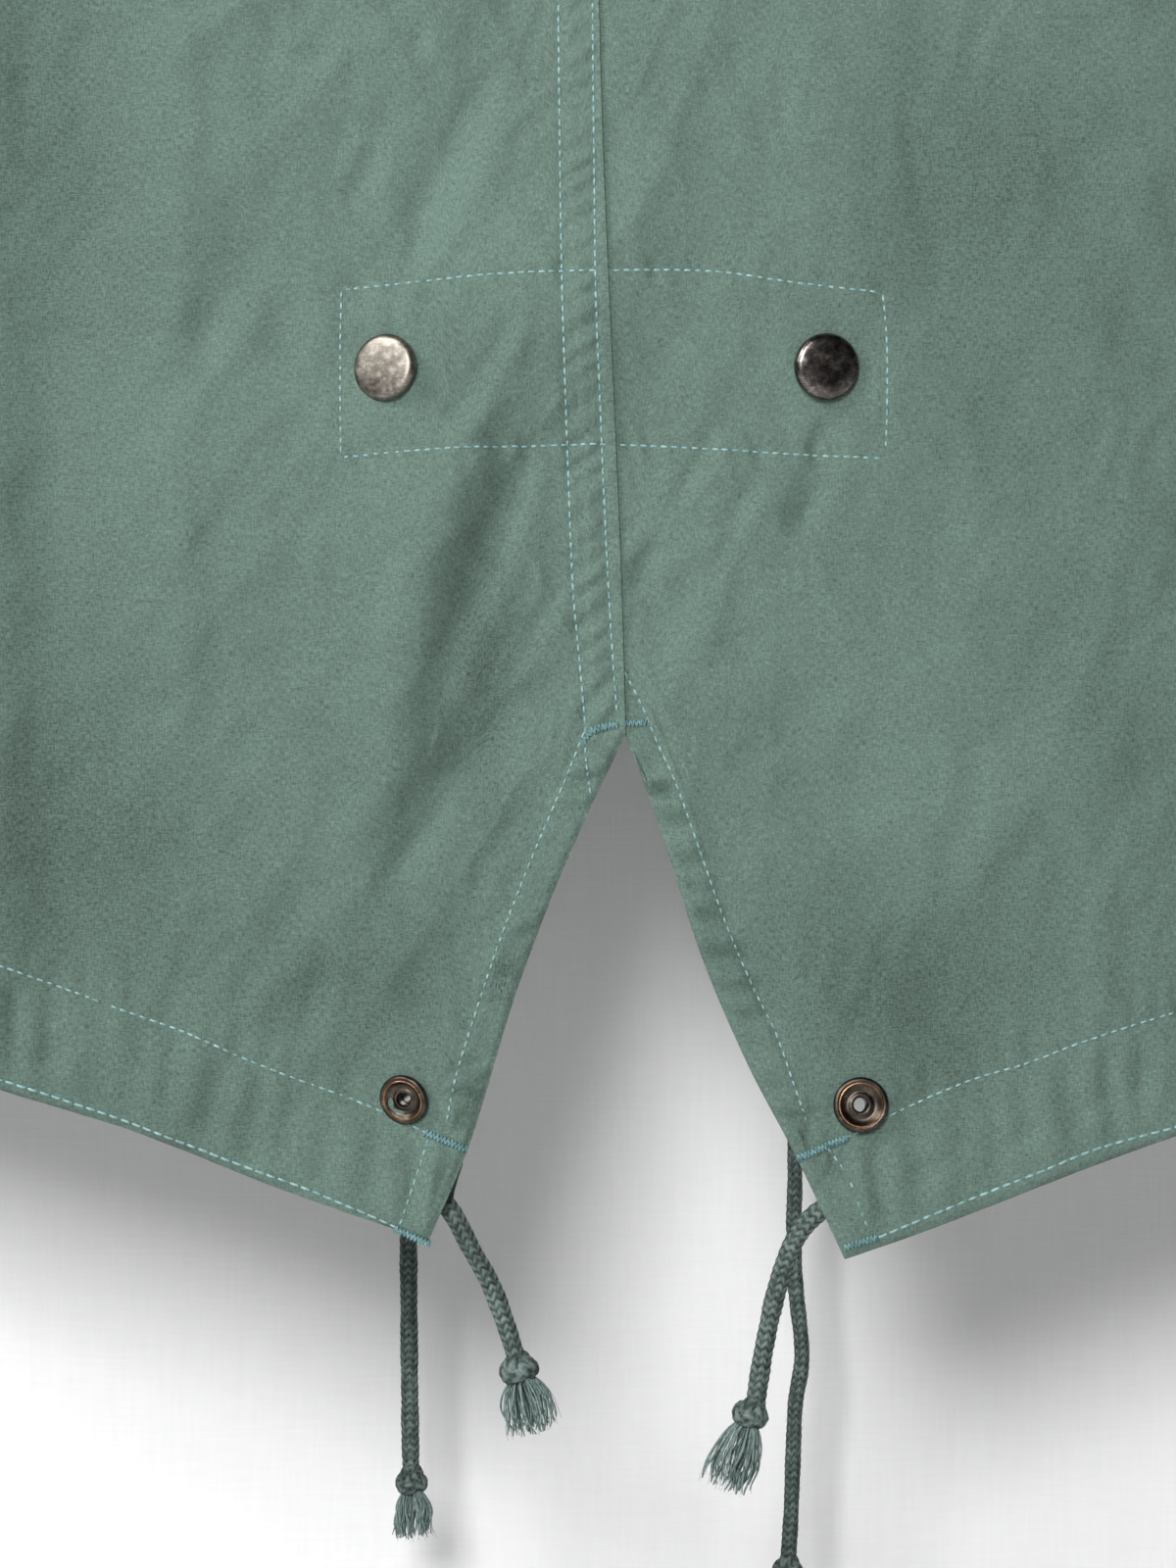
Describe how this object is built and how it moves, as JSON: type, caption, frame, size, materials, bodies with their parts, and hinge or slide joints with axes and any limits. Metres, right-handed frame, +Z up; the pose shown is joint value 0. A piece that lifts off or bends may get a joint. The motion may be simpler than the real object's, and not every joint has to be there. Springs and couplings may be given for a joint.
{
  "type": "fishtail parka on a hanger",
  "caption": "Cotton parka with a split fishtail back hem, drawcords in hem tunnels, tail snaps and a fallen hood, hanging open at neck, cuffs and hem on a plain hanger.",
  "frame": {"origin": "seat of the hanger's hook on its rail, the inside top of the bow", "axes": "+Z up, +Y out of the coat's front, -Y out of its back (the side in the picture), +X to the right of the back view"},
  "size_m": [0.835, 0.189, 1.2381],
  "materials": {
    "back_cord_left": "braided cord, slightly fuzzy, darker grey-green",
    "back_cord_right": "braided cord, slightly fuzzy, darker grey-green",
    "back_left": "sage grey-green plain-woven cotton, matte, lightly washed",
    "back_right": "sage grey-green plain-woven cotton, matte, lightly washed",
    "back_seam_lap": "sage grey-green plain-woven cotton, matte, lightly washed",
    "back_tassel_left": "knotted and frayed cord end",
    "back_tassel_right": "knotted and frayed cord end",
    "back_tunnel_left": "sage grey-green plain-woven cotton, matte, lightly washed",
    "back_tunnel_right": "sage grey-green plain-woven cotton, matte, lightly washed",
    "fly_cap_1": "worn pewter-grey domed snap cap",
    "fly_cap_2": "worn pewter-grey domed snap cap",
    "fly_cap_3": "worn pewter-grey domed snap cap",
    "fly_cap_4": "worn pewter-grey domed snap cap",
    "fly_cap_5": "worn pewter-grey domed snap cap",
    "front_cord_left": "braided cord, slightly fuzzy, darker grey-green",
    "front_cord_right": "braided cord, slightly fuzzy, darker grey-green",
    "front_fly": "sage grey-green plain-woven cotton, matte, lightly washed",
    "front_left": "sage grey-green plain-woven cotton, matte, lightly washed",
    "front_right": "sage grey-green plain-woven cotton, matte, lightly washed",
    "front_tassel_left": "knotted and frayed cord end",
    "front_tassel_right": "knotted and frayed cord end",
    "front_tunnel_left": "sage grey-green plain-woven cotton, matte, lightly washed",
    "front_tunnel_right": "sage grey-green plain-woven cotton, matte, lightly washed",
    "hanger_bar": "plain satin wood",
    "hanger_hook": "plain round wire",
    "hood_left": "sage grey-green plain-woven cotton, matte, lightly washed",
    "hood_right": "sage grey-green plain-woven cotton, matte, lightly washed",
    "patch_cap_left": "worn pewter-grey domed snap cap",
    "patch_cap_right": "worn pewter-grey domed snap cap",
    "patch_socket_left": "dark bronze, worn to copper at its edges",
    "patch_socket_right": "dark bronze, worn to copper at its edges",
    "sleeve_left": "sage grey-green plain-woven cotton, matte, lightly washed",
    "sleeve_right": "sage grey-green plain-woven cotton, matte, lightly washed",
    "snap_patch": "sage grey-green plain-woven cotton, matte, lightly washed",
    "tail_eyelet_left": "dark bronze, worn to copper at its edges",
    "tail_eyelet_right": "dark bronze, worn to copper at its edges",
    "tail_stud_left": "dark bronze, worn to copper at its edges",
    "tail_stud_right": "dark bronze, worn to copper at its edges"
  },
  "bodies": {
    "root": {"back_cord_left": "back_cord_left", "back_cord_right": "back_cord_right", "back_left": "back_left", "back_right": "back_right", "back_seam_lap": "back_seam_lap", "back_tassel_left": "back_tassel_left", "back_tassel_right": "back_tassel_right", "back_tunnel_left": "back_tunnel_left", "back_tunnel_right": "back_tunnel_right", "fly_cap_1": "fly_cap_1", "fly_cap_2": "fly_cap_2", "fly_cap_3": "fly_cap_3", "fly_cap_4": "fly_cap_4", "fly_cap_5": "fly_cap_5", "front_cord_left": "front_cord_left", "front_cord_right": "front_cord_right", "front_fly": "front_fly", "front_left": "front_left", "front_right": "front_right", "front_tassel_left": "front_tassel_left", "front_tassel_right": "front_tassel_right", "front_tunnel_left": "front_tunnel_left", "front_tunnel_right": "front_tunnel_right", "hanger_bar": "hanger_bar", "hanger_hook": "hanger_hook", "hood_left": "hood_left", "hood_right": "hood_right", "patch_cap_left": "patch_cap_left", "patch_cap_right": "patch_cap_right", "patch_socket_left": "patch_socket_left", "patch_socket_right": "patch_socket_right", "sleeve_left": "sleeve_left", "sleeve_right": "sleeve_right", "snap_patch": "snap_patch", "tail_eyelet_left": "tail_eyelet_left", "tail_eyelet_right": "tail_eyelet_right", "tail_stud_left": "tail_stud_left", "tail_stud_right": "tail_stud_right"}
  },
  "joints": []
}
